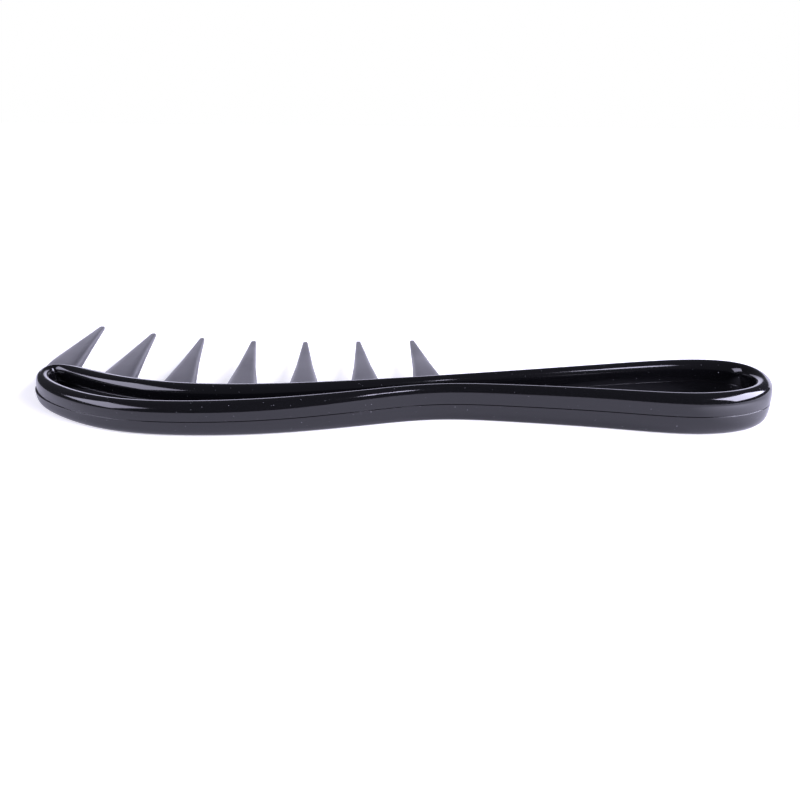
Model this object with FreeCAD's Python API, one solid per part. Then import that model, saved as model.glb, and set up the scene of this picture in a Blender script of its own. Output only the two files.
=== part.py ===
import FreeCAD, Part
import math
import os

# Wide-tooth handle comb of black moulded plastic, lying flat on a surface.
# One closed loop of hollow rail is both the head and the handle.  It is made of
# an upper and a lower shell that meet on a seam at mid-height, and seven flat
# teeth are held by their feet in the rail's hollow, each through a notch in the seam.
# +X runs along the comb to the handle's end, +Y to the tooth tips, +Z is up.
# All lengths are millimetres.

V = FreeCAD.Vector

# ---- driving dimensions ----

# Loop of the rail's centre-line: poles of a closed uniform cubic spline, with the
# rail's width at each pole.  They go along the back rail from the head's tip to the
# handle's end, then return along the tooth rail.
RAIL_POLES = [
    (-95.5, -5.5, 5.6),
    (-78.5, -14.5, 5.6),
    (-56.5, -16.5, 5.8),
    (-33.0, -14.5, 6.0),
    (-10.5, -9.0, 4.4),
    (10.5, -3.0, 4.0),
    (32.5, -5.5, 4.4),
    (57.5, -9.0, 4.2),
    (80.0, -14.0, 5.4),
    (95.5, -11.2, 6.2),
    (104.0, -4.5, 5.9),
    (106.5, 5.0, 5.6),
    (103.0, 13.5, 6.0),
    (88.5, 16.0, 5.4),
    (63.0, 11.5, 4.6),
    (35.5, 6.5, 4.4),
    (11.0, 2.5, 4.2),
    (-11.5, -1.0, 4.6),
    (-35.5, -3.5, 5.6),
    (-62.0, -3.5, 5.8),
    (-86.5, 4.5, 5.8),
    (-103.0, 15.5, 5.8),
    (-109.6, 15.0, 5.0),
    (-107.1, 5.0, 4.8),
]
HALF_HEIGHT = 5.35          # from the seam to the rail's crown, at x = 0
HEIGHT_GROWTH = 0.0079      # half-height gained per millimetre towards the handle's end
WALL = 1.2                  # shell wall
TOE_STEP = 0.7              # how far the lower shell stands out under the upper one at the head's tip
TOE_START = -95.0           # where that step begins
ORIGIN_X = -3.4             # middle of the comb's outline, where the part's origin goes
ORIGIN_Y = 25.8

LAND_DEPTH = 0.15           # cut off the lowest crown, to leave a flat land to rest on

SEAM_GROOVE_DEPTH = 0.12    # witness groove round the outside of the seam
SEAM_GROOVE_HALF = 0.08
LAP_INSET = 0.6             # the lower shell's lip starts this far inside its face
LAP_HEIGHT = 1.0
LAP_GAP = 0.05              # clearance round the lip

# Teeth, numbered from the head's tip: where each one's axis crosses the rail's
# centre-line, its tip, its width at the tip and the width it gains per millimetre.
TEETH = [
    ((-108.0, 14.0), (-114.1, 70.4), 1.75, 0.185),
    ((-86.5, 4.5), (-91.5, 61.3), 1.7, 0.18),
    ((-65.8, -2.0), (-72.0, 55.6), 1.55, 0.148),
    ((-46.5, -3.0), (-52.6, 51.9), 1.65, 0.137),
    ((-27.8, -3.0), (-33.9, 50.9), 1.55, 0.141),
    ((-9.4, -1.0), (-15.0, 51.4), 1.45, 0.15),
    ((9.6, 2.5), (4.2, 52.6), 1.5, 0.163),
]
FLARE_START = 27.0          # this far from the tip, every tooth starts to widen faster
FLARE_SPREAD = 0.2
TOOTH_TIP_THICKNESS = 1.3
TOOTH_THICKENING = 0.055    # thickness gained per millimetre from the tip
TOOTH_NOSE = 1.2            # length of the rounded tip
NOSE_SECTIONS = [(1.0, 1.0), (0.6, 0.92), (0.25, 0.66), (0.07, 0.37), (0.0, 0.12)]
FLUSH_LINE = [(-110.9, 11.0), (-113.3, 27.0)]   # the first tooth runs into the head's end here
ROOT_REACH = 2.4            # blades are drawn from inside the loop, then cut at the centre-line
FOOT_MARGIN = 1.2           # the foot is wider than the blade by this on each side
FOOT_GAP = 0.08             # clearance of the foot in the hollow, and the blade in its notch

# Pegs that line up the shells stand on the centre-line beside these points.
PEG_SPOTS = [
    (-78.0, -13.5),
    (-45.0, -15.0),
    (-10.0, -8.5),
    (45.0, -7.0),
    (85.0, -13.0),
    (106.0, 4.0),
    (70.0, 12.5),
    (30.0, 6.0),
    (0.0, 1.0),
    (-37.2, -3.0),
    (-75.7, 0.5),
]
BOSS_RADIUS = 1.5
PEG_RADIUS = 0.7
PEG_HEIGHT = 2.2
PEG_GAP = 0.08

# ---- shared geometry ----

DEGREE = 3
CROWN_PULL = 1.0 / 6.0      # section pole heights that give the rail a full-round crown
SIDE_DROP = 1.0 / 3.0
EDGE_SWELL = 1.08           # section poles that give a tooth flat faces and rounded edges
EDGE_REACH = 0.95
FACE_SWELL = 1.05
FOOT_REACH = 18.0           # block that takes the foot out of the hollow
BIG = 400.0                 # cutting blocks, larger than the comb
TALL = 20.0


def half_height(x):
    """Half of the rail's height at length x."""
    return HALF_HEIGHT + HEIGHT_GROWTH * x


def section_poles(half_width, height):
    """Eight poles of the rail's section: upright sides under a round crown, and the same below."""
    crown = height + half_width * CROWN_PULL
    side = height - half_width * SIDE_DROP
    return [
        (0.0, crown),
        (half_width, side),
        (half_width, 0.0),
        (half_width, -side),
        (0.0, -crown),
        (-half_width, -side),
        (-half_width, 0.0),
        (-half_width, side),
    ]


def rail_tube(inset, toe=0.0):
    """Solid of the whole loop, its face everywhere this far inside the rail's outer face.

    A toe moves the outside of the head's tip outwards, by up to that much.
    """
    count = len(RAIL_POLES)
    toe_run = TOE_START - min(x for x, _, _ in RAIL_POLES)
    rows = []
    for i, (x, y, width) in enumerate(RAIL_POLES):
        x_before, y_before, _ = RAIL_POLES[i - 1]
        x_after, y_after, _ = RAIL_POLES[(i + 1) % count]
        run = math.hypot(x_after - x_before, y_after - y_before)
        side_x = (y_after - y_before) / run
        side_y = (x_before - x_after) / run
        swell = toe * max(0.0, TOE_START - x) / toe_run
        row = []
        for s, z in section_poles(width / 2 - inset, half_height(x) - inset):
            if s > 0:
                s += swell
            row.append(V(x + side_x * s, y + side_y * s, z))
        rows.append(row)
    surface = Part.BSplineSurface()
    surface.buildFromPolesMultsKnots(
        rows,
        [1] * (count + 1),
        [1] * (len(rows[0]) + 1),
        list(range(count + 1)),
        list(range(len(rows[0]) + 1)),
        True,
        True,
        DEGREE,
        DEGREE,
    )
    tube = Part.Solid(Part.Shell([surface.toShape()]))
    if tube.Volume < 0:
        tube.reverse()
    return tube


def slab(bottom, top):
    """Everything between two heights above the seam."""
    return Part.makeBox(BIG, BIG, top - bottom, V(-BIG / 2, -BIG / 2, bottom))


def largest_solid(shape):
    """The main piece of a cut, without the slivers."""
    return max(shape.Solids, key=lambda solid: solid.Volume)


def spline_loop(points):
    """Closed cubic wire with these poles."""
    curve = Part.BSplineCurve()
    count = len(points)
    curve.buildFromPolesMultsKnots(points, [1] * (count + 1), list(range(count + 1)), True, DEGREE)
    return curve


def centre_line(z):
    """The rail's centre-line, at this height."""
    return spline_loop([V(x, y, z) for x, y, _ in RAIL_POLES])


def inside_of_loop():
    """Everything within the rail's centre-line."""
    face = Part.Face(Part.Wire([centre_line(-TALL).toShape()]))
    return face.extrude(V(0, 0, 2 * TALL))


# ---- teeth ----


def tooth_section(origin, along, width, thickness):
    """Closed wire across a tooth: flat faces with well rounded edges."""
    across = V(along.y, -along.x, 0)
    side = width / 2 * EDGE_SWELL
    shoulder = width / 2 * EDGE_REACH
    face = thickness / 2
    bevel = face * FACE_SWELL
    ring = [(side, 0), (shoulder, bevel), (0, face), (-shoulder, bevel)]
    ring += [(-s, -z) for s, z in ring]
    return Part.Wire([spline_loop([origin + across * s + V(0, 0, z) for s, z in ring]).toShape()])


def blade_width(tip_width, spread, back):
    """Width of a blade this far back from its tip."""
    flare = FLARE_SPREAD * max(0.0, back - FLARE_START)
    return tip_width + spread * min(back, FLARE_START) + flare


def tooth_blade(root, tip, tip_width, spread, gap, loop_core):
    """Blade from the rail's centre-line to its rounded tip, grown by a gap on every side."""
    root = V(root[0], root[1], 0)
    tip = V(tip[0], tip[1], 0)
    along = (tip - root).normalize()
    backs = [((tip - root).Length + ROOT_REACH + gap, 1.0), (FLARE_START, 1.0)]
    backs += [(TOOTH_NOSE * part, scale) for part, scale in NOSE_SECTIONS]
    sections = []
    for back, scale in backs:
        width = blade_width(tip_width, spread, back) * scale + 2 * gap
        thickness = (TOOTH_TIP_THICKNESS + TOOTH_THICKENING * back) * scale + 2 * gap
        sections.append(tooth_section(tip - along * back, along, width, thickness))
    blade = Part.makeLoft(sections, True, True).cut(loop_core).cut(beyond_the_head(gap))
    return largest_solid(blade)


def beyond_the_head(gap):
    """Everything past the line along which the first tooth's edge runs into the head's end."""
    (x_low, y_low), (x_high, y_high) = FLUSH_LINE
    block = Part.makeBox(BIG, BIG, BIG, V(-BIG - gap, -BIG / 2, -BIG / 2))
    block.rotate(V(0, 0, 0), V(0, 0, 1), math.degrees(math.atan2(x_low - x_high, y_high - y_low)))
    block.translate(V(x_low, y_low, 0))
    return block


def tooth_foot(root, tip, tip_width, spread, room):
    """Length of the rail's hollow on each side of the blade, which keeps the tooth in."""
    root = V(root[0], root[1], 0)
    tip = V(tip[0], tip[1], 0)
    along = (tip - root).normalize()
    width = blade_width(tip_width, spread, (tip - root).Length) + 2 * FOOT_MARGIN
    block = Part.makeBox(width, FOOT_REACH, FOOT_REACH, V(-width / 2, -FOOT_REACH / 2, -FOOT_REACH / 2))
    block.rotate(V(0, 0, 0), V(0, 0, 1), math.degrees(math.atan2(-along.x, along.y)))
    block.translate(root)
    return largest_solid(room.common(block))


def tooth(root, tip, tip_width, spread, room, loop_core):
    """One tooth: blade, neck and foot in one piece."""
    blade = tooth_blade(root, tip, tip_width, spread, 0.0, loop_core)
    return largest_solid(blade.fuse(tooth_foot(root, tip, tip_width, spread, room)))


# ---- shells ----


def boss(spot, radius, bottom, top):
    """Upright cylinder on the rail's centre-line."""
    line = centre_line(0)
    foot = line.value(line.parameter(V(spot[0], spot[1], 0)))
    return Part.makeCylinder(radius, top - bottom, V(foot.x, foot.y, bottom))


def lower_shell(lap, hollow, notches):
    """Lower half of the rail, with the lip and the pegs that enter the upper half."""
    outer = rail_tube(0.0, TOE_STEP)
    groove = rail_tube(SEAM_GROOVE_DEPTH, TOE_STEP)
    body = outer.common(slab(-TALL, -SEAM_GROOVE_HALF))
    body = body.fuse(groove.common(slab(-TALL, 0)))
    body = body.fuse(lap.common(slab(-TALL, LAP_HEIGHT)))
    body = body.cut(hollow)
    for spot in PEG_SPOTS:
        body = body.fuse(boss(spot, BOSS_RADIUS, -TALL, 0).common(lap))
        body = body.fuse(boss(spot, PEG_RADIUS, -PEG_HEIGHT, PEG_HEIGHT))
    for notch in notches:
        body = body.cut(notch)
    return largest_solid(body)


def upper_shell(lap, hollow, notches):
    """Upper half of the rail, rebated for the lip, with a socket for each peg."""
    outer = rail_tube(0.0)
    groove = rail_tube(SEAM_GROOVE_DEPTH)
    lap_room = rail_tube(LAP_INSET - LAP_GAP)
    body = outer.common(slab(SEAM_GROOVE_HALF, TALL))
    body = body.fuse(groove.common(slab(0, TALL)))
    body = body.cut(lap_room.common(slab(-1, LAP_HEIGHT + LAP_GAP)))
    body = body.cut(hollow)
    for spot in PEG_SPOTS:
        body = body.fuse(boss(spot, BOSS_RADIUS, LAP_HEIGHT + LAP_GAP, TALL).common(lap))
        body = body.cut(boss(spot, PEG_RADIUS + PEG_GAP, -1, PEG_HEIGHT + PEG_GAP))
    for notch in notches:
        body = body.cut(notch)
    return largest_solid(body)


# ---- assembly ----


def settle(shape):
    """Lays the comb on the ground: the seam tilts so that the whole underside is level."""
    shape = shape.copy()
    shape.rotate(V(0, 0, 0), V(0, 1, 0), -math.degrees(math.atan(HEIGHT_GROWTH)))
    shape.translate(V(-ORIGIN_X, -ORIGIN_Y, HALF_HEIGHT - LAND_DEPTH))
    return shape


def save(shape, name):
    """Writes one node."""
    shape.exportStep(os.path.join("parts", name + ".step"))
    print(name, shape.ShapeType, shape.isValid(), round(shape.Volume, 1))


def main():
    os.makedirs("parts", exist_ok=True)
    lap = rail_tube(LAP_INSET)
    hollow = rail_tube(WALL)
    foot_room = rail_tube(WALL + FOOT_GAP)
    loop_core = inside_of_loop()
    notches = [tooth_blade(*sizes, FOOT_GAP, loop_core) for sizes in TEETH]
    lower = settle(lower_shell(lap, hollow, notches))
    ground = Part.makeBox(BIG, BIG, BIG, V(-BIG / 2, -BIG / 2, -BIG))
    save(largest_solid(lower.cut(ground)), "lower_shell")
    save(settle(upper_shell(lap, hollow, notches)), "upper_shell")
    for number, sizes in enumerate(TEETH, start=1):
        save(settle(tooth(*sizes, foot_room, loop_core)), "tooth_%d" % number)


main()
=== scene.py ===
import math

import bpy
import numpy as np
from mathutils import Matrix, Vector


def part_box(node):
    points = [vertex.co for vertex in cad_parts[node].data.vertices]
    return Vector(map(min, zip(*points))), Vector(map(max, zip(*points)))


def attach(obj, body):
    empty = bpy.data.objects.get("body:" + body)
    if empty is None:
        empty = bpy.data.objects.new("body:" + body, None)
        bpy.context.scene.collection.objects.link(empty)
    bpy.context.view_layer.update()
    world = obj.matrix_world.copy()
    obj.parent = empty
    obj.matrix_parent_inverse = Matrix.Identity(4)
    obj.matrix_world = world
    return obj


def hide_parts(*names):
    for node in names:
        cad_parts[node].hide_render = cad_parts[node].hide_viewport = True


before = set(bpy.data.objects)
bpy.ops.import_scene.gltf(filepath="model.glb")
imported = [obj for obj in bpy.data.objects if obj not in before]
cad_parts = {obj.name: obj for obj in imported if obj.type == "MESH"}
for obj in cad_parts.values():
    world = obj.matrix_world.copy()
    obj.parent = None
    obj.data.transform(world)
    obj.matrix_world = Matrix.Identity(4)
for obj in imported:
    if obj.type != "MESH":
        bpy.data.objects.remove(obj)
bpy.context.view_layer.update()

# Looks of a wide-tooth handle comb in black moulded plastic.
# The rail's two shells are rebuilt as smooth quad meshes over the same spline cage
# as the CAD ones and set down where the CAD ones are; the teeth keep their CAD meshes.
# Lengths are millimetres until MM turns them into the frame's metres; only those of the
# lights and of the materials are metres from the start.

MM = 0.001
BODY = "root"

# ---- the rail ----

# Centre-line poles of the closed rail, with its width at each: along the back rail from
# the head's tip to the handle's end, then back along the tooth rail.  These poles and the
# two heights below are a least-squares fit to outline positions measured in the photograph,
# rounded, with three of the poles moved afterwards.
RAIL_POLES = [
    (-95.5, -5.5, 5.6),
    (-78.5, -14.5, 5.6),
    (-56.5, -16.5, 5.8),
    (-33.0, -14.5, 6.0),
    (-10.5, -9.0, 4.4),
    (10.5, -3.0, 4.0),
    (32.5, -5.5, 4.4),
    (57.5, -9.0, 4.2),
    (80.0, -14.0, 5.4),
    (95.5, -11.2, 6.2),
    (104.0, -4.5, 5.9),
    (106.5, 5.0, 5.6),
    (103.0, 13.5, 6.0),
    (88.5, 16.0, 5.4),
    (63.0, 11.5, 4.6),
    (35.5, 6.5, 4.4),
    (11.0, 2.5, 4.2),
    (-11.5, -1.0, 4.6),
    (-35.5, -3.5, 5.6),
    (-62.0, -3.5, 5.8),
    (-86.5, 4.5, 5.8),
    (-103.0, 15.5, 5.8),
    (-109.6, 15.0, 5.0),
    (-107.1, 5.0, 4.8),
]
HALF_HEIGHT = 5.35
HEIGHT_GROWTH = 0.0079
CROWN_PULL = 1 / 6          # section poles that make the crown a half circle
SIDE_DROP = 1 / 3
TOE_STEP = 0.7              # how far the lower shell stands out at the head's tip
TOE_START = -95.0
STATIONS = 1100             # rings round the loop
SIDE_STEPS = 34             # quads from the seam over the crown to the seam
SECTION_POLES = 8

# Where each shell's edge turns in to the seam: how far round the section from the seam it
# starts, in section poles, and then (depth inside the face, height from the seam).
EDGE_START = 0.07
UPPER_LIP = [(0.0, 0.13), (0.015, 0.08), (0.05, 0.045), (0.12, 0.03), (0.14, 0.0)]
LOWER_LIP = [(0.0, 0.2), (0.015, 0.13), (0.05, 0.08), (0.1, 0.05), (0.14, 0.03), (0.14, 0.0)]

# ---- the camera ----

VIEW_DISTANCE = 205.0       # from the loop's middle to the lens
VIEW_ELEVATION = 22.0
VIEW_TARGET_DROP = 1.17     # the optical axis passes this far under the loop's middle
LENS = 31.64
SENSOR = 36.0
CLIP_START = 10.0

# ---- the table, and the card of painted shade inside the loop ----

TABLE_HALF = 4000.0
SHADE_CARD_STEP = 10              # rings of the rail between its corners
SHADE_CARD_LIFT = 0.05            # above the table

# ---- materials, in metres ----

# Each noise is its patches per metre and its detail, and how it is stretched if it is.
# Each relief is a bump's strength and its height.
MOST_NOISE = (0.3, 0.7)                 # nearly all of a noise lies between these
PLASTIC_IOR = 1.5

RAIL_BLACK = (0.0025, 0.0025, 0.003)
RAIL_CLOUDS = (90.0, 3.0)
RAIL_ROUGHNESS = (0.08, 0.11)
RAIL_WAVES = (120.0, 1.0)
RAIL_RELIEF = (0.05, 0.0003)
SCUFFS = (60.0, 2.0, (1, 14, 14))       # hairlines along the rail
SCUFF_PEAKS = (0.64, 0.78)
SCUFF_ROUGHNESS = 0.05

# Dust of each size: cells per metre, a speck's radius, share of the cells that hold one.
DUST = [(160, 0.00018, 0.25), (420, 0.00013, 0.5), (800, 0.00009, 0.5)]
DUST_GREY = (0.3, 0.3, 0.32)
DUST_EDGE = 0.01                        # how softly the share cuts off
FAINTEST_DUST = 0.2

TOOTH_BLACK = (0.008, 0.008, 0.01)
TOOTH_WORN = (0.016, 0.015, 0.018)
TOOTH_WEAR = (45.0, 4.0, (3, 1, 1))
WEAR_PEAKS = (0.35, 0.7)
TOOTH_CLOUDS = (60.0, 3.0)
TOOTH_ROUGHNESS = (0.3, 0.38)
TOOTH_GRAIN = (2400.0, 2.0)
TOOTH_RELIEF = (0.12, 0.00004)

TABLE_SHADES = [(0.68, 0.68, 0.69), (0.74, 0.74, 0.75)]
# Tones of the dark card: painted shade on the table inside the loop, seen only in the rail's
# reflections.
SHADE_CARD_TONES = [(0.12, 0.12, 0.13), (0.16, 0.16, 0.17)]
PAPER_GRAIN = (400.0, 2.0)
PAPER_ROUGHNESS = 0.9
WHITE = (1.0, 1.0, 1.0)
OVEREXPOSED = (0.3, 0.3, 0.24)          # what the camera sees on top of the lit table
FAR = (0.2, 0.6)                        # from the comb to where the table is all white
TABLE_GLOW = 0.25
# The table glows beside the handle's end though it is no lamp: a painted pool of light.
PAINTED_POOL_GLOW = 3.2                        # in the middle of the painted pool of light
PAINTED_POOL_PLACE = (0.135, -0.07, 0.0)       # where the painted pool of light lies, beside the handle's end
PAINTED_POOL_RADIUS = 0.045

# ---- the lights, in metres and degrees ----

LIGHT_TINT = (0.97, 0.95, 1.22)
ROOM = (0.11, 0.11, 0.135)
MIDDLE = (0.0, 0.0, 0.0)
WAIST = (-0.001, -0.033, 0.009)     # where the near rail is thinnest
OPEN_BEAM = 180.0                   # of a light that shines every way from its face

# name, what it faces and from how far, then as seen from there its azimuth, elevation,
# roll, width and height, its radiance, and the width of its beam.  The right soft box is
# a least-squares fit to the photograph's reflections, rounded; the left one started as one.
LIGHTS = [
    ("soft_box_right", MIDDLE, 1.8, 73.2, 29.9, 8.0, 51.0, 33.0, 15.5, OPEN_BEAM),
    ("soft_box_left", MIDDLE, 1.8, -67.0, 29.0, -21.0, 43.0, 29.0, 5.5, OPEN_BEAM),
    ("backdrop_glow", MIDDLE, 1.8, 168.0, 5.5, 0.0, 100.0, 25.0, 1.95, OPEN_BEAM),
    ("strip_front", WAIST, 0.25, 29.0, 38.0, -12.0, 1.8, 16.0, 40.0, 14.0),
]

# ---- small tools ----


def new_object(name, vertices, faces):
    """Mesh object with smooth faces, from points in millimetres."""
    mesh = bpy.data.meshes.new(name)
    mesh.from_pydata([tuple(v) for v in np.asarray(vertices) * MM], [], faces)
    mesh.polygons.foreach_set("use_smooth", [True] * len(mesh.polygons))
    mesh.update()
    made = bpy.data.objects.new(name, mesh)
    bpy.context.scene.collection.objects.link(made)
    return made


def spline_weights(parameters, count):
    """Weight of each of the poles of a closed uniform cubic spline, at each parameter."""
    whole = np.floor(parameters).astype(int)
    t = parameters - whole
    pieces = [(1 - t) ** 3, 3 * t**3 - 6 * t**2 + 4, -3 * t**3 + 3 * t**2 + 3 * t + 1, t**3]
    weights = np.zeros((len(parameters), count))
    for k, piece in enumerate(pieces):
        np.add.at(weights, (np.arange(len(parameters)), (whole - 1 + k) % count), piece / 6)
    return weights


# ---- the rail's shells ----


def rail_cage(inset, toe):
    """Poles of the rail's face, moved in by the inset: one ring of eight for each rail pole.

    A toe moves the outside of the head's tip outwards, by up to that much.
    """
    poles = np.array(RAIL_POLES)
    along = np.roll(poles, -1, axis=0)[:, :2] - np.roll(poles, 1, axis=0)[:, :2]
    along /= np.linalg.norm(along, axis=1)[:, None]
    side_ways = np.stack([along[:, 1], -along[:, 0]], axis=1)
    half = poles[:, 2] / 2 - inset
    height = HALF_HEIGHT + HEIGHT_GROWTH * poles[:, 0] - inset
    crown = height + half * CROWN_PULL
    shoulder = height - half * SIDE_DROP
    zero = np.zeros(len(poles))
    across = np.stack([zero, half, half, half, zero, -half, -half, -half], axis=1)
    up = np.stack([crown, shoulder, zero, -shoulder, -crown, -shoulder, zero, shoulder], axis=1)
    toe_run = TOE_START - poles[:, 0].min()
    swell = toe * np.maximum(0, TOE_START - poles[:, 0]) / toe_run
    across += swell[:, None] * (across > 0)
    cage = np.zeros((len(poles), SECTION_POLES, 3))
    cage[:, :, 0] = poles[:, :1] + side_ways[:, :1] * across
    cage[:, :, 1] = poles[:, 1:2] + side_ways[:, 1:2] * across
    cage[:, :, 2] = up
    return cage


def rail_rings(cage, around, rings):
    """Points of the face over this cage, on all rings at these places round the section."""
    across = spline_weights(np.asarray(around, float) % SECTION_POLES, SECTION_POLES)
    return np.einsum("un,nsk,vs->uvk", rings, cage, across)


def shell_section(is_upper):
    """Places round the section that the face takes up, and those of the seam at its ends."""
    first, last = (-2, 2) if is_upper else (2, 6)
    face = np.linspace(first + EDGE_START, last - EDGE_START, SIDE_STEPS + 1)
    return face, first, last


def shell_points(is_upper):
    """Rings of a shell's points: its face, one edge, the seam and the other edge."""
    toe = 0.0 if is_upper else TOE_STEP
    count = len(RAIL_POLES)
    rings = spline_weights(np.linspace(0, count, STATIONS, endpoint=False), count)
    face, first, last = shell_section(is_upper)
    parts = [rail_rings(rail_cage(0.0, toe), face, rings)]
    lip = UPPER_LIP if is_upper else LOWER_LIP
    rise = 1 if is_upper else -1
    edges = []
    for depth, height in lip:
        ends = rail_rings(rail_cage(depth, toe), [last, first], rings)
        ends[:, :, 2] = rise * height
        edges.append(ends)
    parts += [edge[:, :1] for edge in edges]
    parts += [edge[:, 1:] for edge in reversed(edges)]
    return np.concatenate(parts, axis=1)


def closed_grid(stations, ring):
    """Quads of a grid that closes on itself both ways."""
    faces = []
    for i in range(stations):
        for j in range(ring):
            a = i * ring + j
            b = i * ring + (j + 1) % ring
            c = (i + 1) % stations * ring + (j + 1) % ring
            d = (i + 1) % stations * ring + j
            faces.append((a, b, c, d))
    return faces


def tilt(points):
    """The seam leans, so that the rail's underside is level though the rail grows taller."""
    angle = math.atan(HEIGHT_GROWTH)
    x, y, z = points[..., 0], points[..., 1], points[..., 2]
    turned_x = x * math.cos(angle) - z * math.sin(angle)
    turned_z = x * math.sin(angle) + z * math.cos(angle)
    return np.stack([turned_x, y, turned_z], axis=-1)


def settled_shift(upper):
    """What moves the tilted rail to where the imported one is."""
    low, high = (np.array(corner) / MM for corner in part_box("upper_shell"))
    points = upper.reshape(-1, 3)
    shift = (low + high) / 2 - (points.min(axis=0) + points.max(axis=0)) / 2
    shift[2] = high[2] - points[:, 2].max()
    return shift


def build_shell(name, node, points):
    """One shell as a closed quad mesh, standing for its CAD node."""
    stations, ring, _ = points.shape
    shell = new_object(name, points.reshape(-1, 3), closed_grid(stations, ring))
    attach(shell, BODY)
    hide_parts(node)
    return shell


def build_rail(material):
    """Both shells.  Returns the shift that the camera needs, and the lower shell's points."""
    upper = tilt(shell_points(True))
    lower = tilt(shell_points(False))
    shift = settled_shift(upper)
    upper += shift
    lower += shift
    # The smooth surface would stand a hair outside the CAD mesh's box, so it is held inside.
    for name, node, points in (
        ("rail_upper", "upper_shell", upper),
        ("rail_lower", "lower_shell", lower),
    ):
        low, high = (np.array(corner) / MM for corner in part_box(node))
        build_shell(name, node, np.clip(points, low, high)).data.materials.append(material)
    return shift, lower


# ---- materials ----


def node_material(name):
    """Empty node material, with its tree and its shader."""
    material = bpy.data.materials.new(name)
    material.use_nodes = True
    tree = material.node_tree
    tree.nodes.clear()
    output = tree.nodes.new("ShaderNodeOutputMaterial")
    shader = tree.nodes.new("ShaderNodeBsdfPrincipled")
    tree.links.new(shader.outputs["BSDF"], output.inputs["Surface"])
    return material, tree, shader


def object_place(tree, stretch=(1, 1, 1)):
    """The object's own coordinates, in metres, multiplied by the stretch."""
    place = tree.nodes.new("ShaderNodeTexCoord")
    mapping = tree.nodes.new("ShaderNodeMapping")
    mapping.inputs["Scale"].default_value = stretch
    tree.links.new(place.outputs["Object"], mapping.inputs["Vector"])
    return mapping.outputs["Vector"]


def object_noise(tree, scale, detail, stretch=(1, 1, 1)):
    """Noise fixed to the object's own coordinates."""
    noise = tree.nodes.new("ShaderNodeTexNoise")
    noise.inputs["Scale"].default_value = scale
    noise.inputs["Detail"].default_value = detail
    tree.links.new(object_place(tree, stretch), noise.inputs["Vector"])
    return noise.outputs["Fac"]


def ranged(tree, value, low, high, out_low, out_high):
    """Value mapped from one range to another, and held there."""
    node = tree.nodes.new("ShaderNodeMapRange")
    numbers = {"From Min": low, "From Max": high, "To Min": out_low, "To Max": out_high}
    for socket, number in numbers.items():
        node.inputs[socket].default_value = number
    tree.links.new(value, node.inputs["Value"])
    return node.outputs["Result"]


def combined(tree, operation, first, second):
    """Arithmetic on two sockets."""
    node = tree.nodes.new("ShaderNodeMath")
    node.operation = operation
    tree.links.new(first, node.inputs[0])
    tree.links.new(second, node.inputs[1])
    return node.outputs[0]


def specks(tree, per_metre, radius, share):
    """Mask of small round dust specks: one in each cell, kept in this share of the cells."""
    cells = tree.nodes.new("ShaderNodeTexVoronoi")
    cells.inputs["Scale"].default_value = per_metre
    tree.links.new(object_place(tree), cells.inputs["Vector"])
    split = tree.nodes.new("ShaderNodeSeparateColor")
    tree.links.new(cells.outputs["Color"], split.inputs["Color"])
    rim = radius * per_metre
    near = ranged(tree, cells.outputs["Distance"], rim, rim / 2, 0, 1)
    kept = ranged(tree, split.outputs["Red"], share, share - DUST_EDGE, 0, 1)
    faint = ranged(tree, split.outputs["Green"], 0, 1, FAINTEST_DUST, 1)
    return combined(tree, "MULTIPLY", combined(tree, "MULTIPLY", near, kept), faint)


def blend(tree, mask, first, second):
    """Colour that goes from the first to the second with the mask."""
    mix = tree.nodes.new("ShaderNodeMix")
    mix.data_type = "RGBA"
    mix.inputs["A"].default_value = (*first, 1)
    mix.inputs["B"].default_value = (*second, 1)
    tree.links.new(mask, mix.inputs["Factor"])
    return mix.outputs["Result"]


def bump(tree, shader, height, strength, distance):
    """Surface relief from a height socket."""
    node = tree.nodes.new("ShaderNodeBump")
    node.inputs["Strength"].default_value = strength
    node.inputs["Distance"].default_value = distance
    tree.links.new(height, node.inputs["Height"])
    tree.links.new(node.outputs["Normal"], shader.inputs["Normal"])


def rail_dust(tree):
    """Mask of dust specks of all sizes."""
    mask = specks(tree, *DUST[0])
    for size in DUST[1:]:
        mask = combined(tree, "MAXIMUM", mask, specks(tree, *size))
    return mask


def gloss_plastic():
    """Polished black plastic, with a little dust and faint hairline scuffs along the rail."""
    material, tree, shader = node_material("gloss_black_plastic")
    shader.inputs["IOR"].default_value = PLASTIC_IOR
    dust = rail_dust(tree)
    tree.links.new(blend(tree, dust, RAIL_BLACK, DUST_GREY), shader.inputs["Base Color"])
    clouds = ranged(tree, object_noise(tree, *RAIL_CLOUDS), *MOST_NOISE, *RAIL_ROUGHNESS)
    scuffs = ranged(tree, object_noise(tree, *SCUFFS), *SCUFF_PEAKS, 0, SCUFF_ROUGHNESS)
    worn = combined(tree, "ADD", clouds, scuffs)
    tree.links.new(combined(tree, "MAXIMUM", worn, dust), shader.inputs["Roughness"])
    bump(tree, shader, object_noise(tree, *RAIL_WAVES), *RAIL_RELIEF)
    return material


def satin_plastic():
    """The same plastic on the teeth, less polished: fine grain, with paler worn patches."""
    material, tree, shader = node_material("satin_black_plastic")
    shader.inputs["IOR"].default_value = PLASTIC_IOR
    wear = ranged(tree, object_noise(tree, *TOOTH_WEAR), *WEAR_PEAKS, 0, 1)
    tree.links.new(blend(tree, wear, TOOTH_BLACK, TOOTH_WORN), shader.inputs["Base Color"])
    clouds = ranged(tree, object_noise(tree, *TOOTH_CLOUDS), *MOST_NOISE, *TOOTH_ROUGHNESS)
    tree.links.new(clouds, shader.inputs["Roughness"])
    bump(tree, shader, object_noise(tree, *TOOTH_GRAIN), *TOOTH_RELIEF)
    return material


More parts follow.
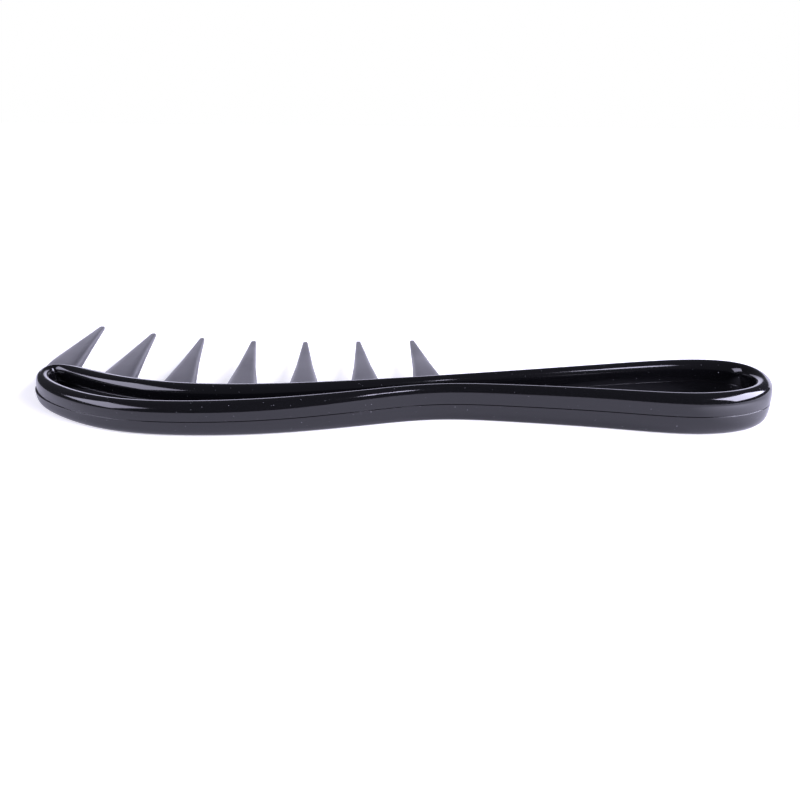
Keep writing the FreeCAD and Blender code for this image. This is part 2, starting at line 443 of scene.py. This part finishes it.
def paper(name, shades):
    """Matt sheet with a fine grain between two shades."""
    material, tree, shader = node_material(name)
    shader.inputs["Roughness"].default_value = PAPER_ROUGHNESS
    grain = object_noise(tree, *PAPER_GRAIN)
    tree.links.new(blend(tree, grain, *shades), shader.inputs["Base Color"])
    return material, tree, shader


def distance_from(tree, place):
    """Distance from a place in the object's own coordinates."""
    node = tree.nodes.new("ShaderNodeVectorMath")
    node.operation = "DISTANCE"
    node.inputs[1].default_value = place
    tree.links.new(object_place(tree), node.inputs[0])
    return node.outputs["Value"]


def table_material():
    """Matt white table, overexposed, with a painted pool of light glowing beside the handle's
    end.

    What the camera sees of it is brighter than what the comb reflects, and white far away.
    """
    material, tree, shader = paper("white_table", TABLE_SHADES)
    far = ranged(tree, distance_from(tree, MIDDLE), *FAR, 0, 1)
    tree.links.new(blend(tree, far, OVEREXPOSED, WHITE), shader.inputs["Emission Color"])
    rays = tree.nodes.new("ShaderNodeLightPath")
    tree.links.new(rays.outputs["Is Camera Ray"], shader.inputs["Emission Strength"])

    # The table glows a little everywhere, and strongly beside the handle's end: a painted pool
    # of light, not a lamp.
    even_glow_and_painted_pool = tree.nodes.new("ShaderNodeEmission")
    even_glow_and_painted_pool.inputs["Color"].default_value = (*LIGHT_TINT, 1)
    away = distance_from(tree, PAINTED_POOL_PLACE)
    painted_pool = ranged(tree, away, PAINTED_POOL_RADIUS, 0, TABLE_GLOW, PAINTED_POOL_GLOW)
    tree.links.new(painted_pool, even_glow_and_painted_pool.inputs["Strength"])
    both = tree.nodes.new("ShaderNodeAddShader")
    tree.links.new(shader.outputs["BSDF"], both.inputs[0])
    tree.links.new(even_glow_and_painted_pool.outputs["Emission"], both.inputs[1])
    output = next(node for node in tree.nodes if node.type == "OUTPUT_MATERIAL")
    tree.links.new(both.outputs["Shader"], output.inputs["Surface"])
    return material


# ---- stage ----


def build_floor():
    """White table under the comb, wider than any view of it."""
    corners = [(-1, -1, 0), (1, -1, 0), (1, 1, 0), (-1, 1, 0)]
    floor = new_object("table", np.array(corners) * TABLE_HALF, [(0, 1, 2, 3)])
    floor.data.materials.append(table_material())


def build_painted_shade_card(lower):
    """Dark card on the table inside the loop, which only the rail's reflections show.

    It is painted shade: it keeps the table's light off the loop's inner walls.
    """
    outline = lower[::SHADE_CARD_STEP].mean(axis=1)
    outline[:, 2] = SHADE_CARD_LIFT
    shade_card = new_object("painted_shade_card", outline, [tuple(range(len(outline)))])
    material, _, _ = paper("painted_shade_card", SHADE_CARD_TONES)
    shade_card.data.materials.append(material)
    shade_card.visible_camera = False
    shade_card.visible_diffuse = False
    shade_card.visible_shadow = False


def build_light(name, aim, distance, azimuth, elevation, roll, wide, tall, radiance, beam):
    """Soft box that faces a place on the comb and fills this many degrees of its surroundings.

    Azimuth 0 is on the camera's side and positive to the right.
    """
    turn = math.radians(azimuth)
    rise = math.radians(elevation)
    level_run = math.cos(rise)
    way = Vector((math.sin(turn) * level_run, -math.cos(turn) * level_run, math.sin(rise)))
    level = Vector((math.cos(turn), math.sin(turn), 0))
    facing = Matrix((level, way.cross(level), way)).transposed()
    facing = facing @ Matrix.Rotation(math.radians(roll), 3, "Z")
    light = bpy.data.lights.new(name, "AREA")
    light.shape = "RECTANGLE"
    light.size = 2 * distance * math.tan(math.radians(wide / 2))
    light.size_y = 2 * distance * math.tan(math.radians(tall / 2))
    light.energy = radiance * light.size * light.size_y * math.pi
    if beam < OPEN_BEAM:
        half_beam = math.radians(beam / 2)
        light.spread = 2 * half_beam
        light.energy *= 1 - half_beam / math.tan(half_beam)
    light.color = LIGHT_TINT
    made = bpy.data.objects.new(name, light)
    made.matrix_world = Matrix.Translation(Vector(aim) + way * distance) @ facing.to_4x4()
    made.visible_camera = False
    bpy.context.scene.collection.objects.link(made)


def build_world():
    """Dark room to every reflection, pale background to the camera."""
    world = bpy.data.worlds.new("room")
    bpy.context.scene.world = world
    world.use_nodes = True
    tree = world.node_tree
    tree.nodes.clear()
    output = tree.nodes.new("ShaderNodeOutputWorld")
    room = tree.nodes.new("ShaderNodeBackground")
    room.inputs["Color"].default_value = (*ROOM, 1)
    pale = tree.nodes.new("ShaderNodeBackground")
    pale.inputs["Color"].default_value = (*WHITE, 1)
    rays = tree.nodes.new("ShaderNodeLightPath")
    mix = tree.nodes.new("ShaderNodeMixShader")
    tree.links.new(rays.outputs["Is Camera Ray"], mix.inputs[0])
    tree.links.new(room.outputs[0], mix.inputs[1])
    tree.links.new(pale.outputs[0], mix.inputs[2])
    tree.links.new(mix.outputs[0], output.inputs["Surface"])


def build_camera(shift):
    """Camera at the standing view, carried along with the rail."""
    rise = math.radians(VIEW_ELEVATION)
    forward = np.array([0.0, math.cos(rise), -math.sin(rise)])
    upward = np.array([0.0, math.sin(rise), math.cos(rise)])
    eye = tilt(-forward * VIEW_DISTANCE) + shift
    target = tilt(-upward * VIEW_TARGET_DROP) + shift
    above = tilt(upward)
    look = Vector(target - eye).normalized()
    right = look.cross(Vector(above)).normalized()
    up = right.cross(look)
    camera = bpy.data.objects.new("camera", bpy.data.cameras.new("camera"))
    camera.data.lens = LENS
    camera.data.sensor_width = SENSOR
    camera.data.clip_start = CLIP_START * MM
    turn = Matrix((right, up, -look)).transposed()
    camera.matrix_world = Matrix.Translation(Vector(eye) * MM) @ turn.to_4x4()
    bpy.context.scene.collection.objects.link(camera)
    bpy.context.scene.camera = camera


def dress_teeth(material):
    """The teeth keep their CAD meshes."""
    for name in sorted(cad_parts):
        if name.startswith("tooth_"):
            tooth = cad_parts[name]
            tooth.data.materials.clear()
            tooth.data.materials.append(material)


def main():
    shift, lower = build_rail(gloss_plastic())
    dress_teeth(satin_plastic())
    build_floor()
    build_painted_shade_card(lower)
    build_world()
    for light in LIGHTS:
        build_light(*light)
    build_camera(shift)
    bpy.context.scene.view_settings.view_transform = "Standard"


main()
